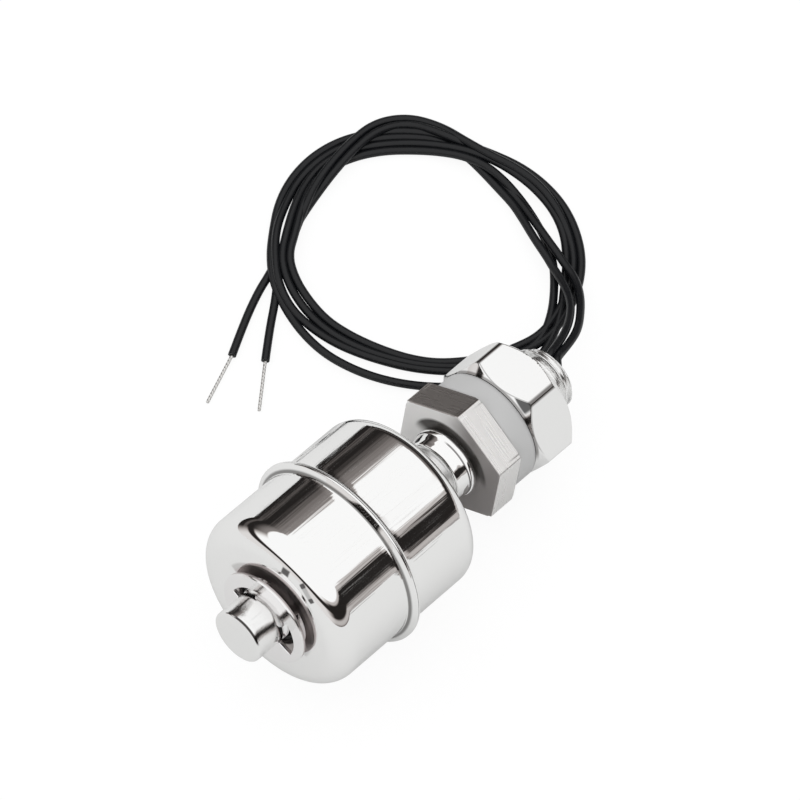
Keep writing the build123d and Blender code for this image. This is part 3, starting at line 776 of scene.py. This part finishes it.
# left: light at the horizon, dark from 16 degrees, and white from 25
leftTent = {"light": 0.75, "less": 0.73, "darkFrom": (0.22, 0.27), "whiteFrom": (0.37, 0.43)}
world = bpy.data.worlds.new("studio")
bpy.context.scene.world = world
world.use_nodes = True
tree = world.node_tree
tree.nodes.clear()
lightPath = tree.nodes.new("ShaderNodeLightPath")
cameraRay = Value(tree, lightPath.outputs["Is Camera Ray"])
glossyRay = Value(tree, lightPath.outputs["Is Glossy Ray"])
direction = Value(tree, tree.nodes.new("ShaderNodeTexCoord").outputs["Generated"])
height = direction.dot((0, 0, 1))
level = (1.0001 - height * height).root()                # above 0 straight up too
far = direction.dot(studio["farWay"]) / level            # 1 towards the far side, -1 away from it
left = direction.dot(studio["leftWay"]) / level

farSide = height.within(*farTent["strip"]) * farTent["stripLight"]
farSide = farSide + height.between(*farTent["greyer"]) * farTent["grey"] + studio["dark"]
farSide = farSide.mix(studio["white"], height.between(*farTent["whiteFrom"]))
nearSide = height.between(*nearTent["lowRise"]) * nearTent["lowMore"] + nearTent["low"]
nearSide = nearSide.mix(studio["dark"], height.between(*nearTent["darkFrom"]))
nearSide = nearSide.mix(nearTent["half"], height.between(*nearTent["halfFrom"]))
nearSide = nearSide.mix(studio["white"], height.between(*nearTent["whiteFrom"]))
leftSide = leftTent["light"] - height.between(*leftTent["darkFrom"]) * leftTent["less"]
leftSide = leftSide.mix(studio["white"], height.between(*leftTent["whiteFrom"]))
mirrored = nearSide.mix(farSide, far.between(*studio["farBlend"]))
mirrored = mirrored.mix(leftSide, left.between(*studio["leftBlend"]))
soft = height.between(*studio["softRise"]) * studio["softMore"] + studio["soft"]
shown = soft.mix(mirrored, glossyRay).mix(1.0, cameraRay)
background = shown.node("ShaderNodeBackground", {})
tree.links.new(shown.socket, background.inputs["Strength"])
tree.links.new(shown.colours(studio["warmDark"], studio["whiteLight"]).socket, background.inputs["Color"])
output = tree.nodes.new("ShaderNodeOutputWorld")
tree.links.new(background.outputs[0], output.inputs[0])
bpy.context.scene.view_settings.view_transform = "Standard"

# The camera, as the photograph was taken: a long lens from high on the left, turned a little
view = {"place": (-233.2867, -231.305, 664.7208), "right": (0.68035363, -0.732715, -0.01573715),
        "down": (-0.65305174, -0.5963579, -0.46677689), "forward": (0.33262946, 0.32785053, -0.88423508),
        "sensor": 36, "lens": 244.493, "clip": (0.05, 20)}       # place, sensor and lens in mm, clip in m
camera = bpy.data.objects.new("camera", bpy.data.cameras.new("camera"))
bpy.context.scene.collection.objects.link(camera)
right, down, forward = (Vector(view[way]) for way in ("right", "down", "forward"))
turn = Matrix((right, -down, -forward)).transposed().to_4x4()
camera.matrix_world = Matrix.Translation(Vector(view["place"]) * mm) @ turn
camera.data.sensor_width = view["sensor"]
camera.data.lens = view["lens"]
camera.data.clip_start, camera.data.clip_end = view["clip"]
bpy.context.scene.camera = camera
print("stage made")
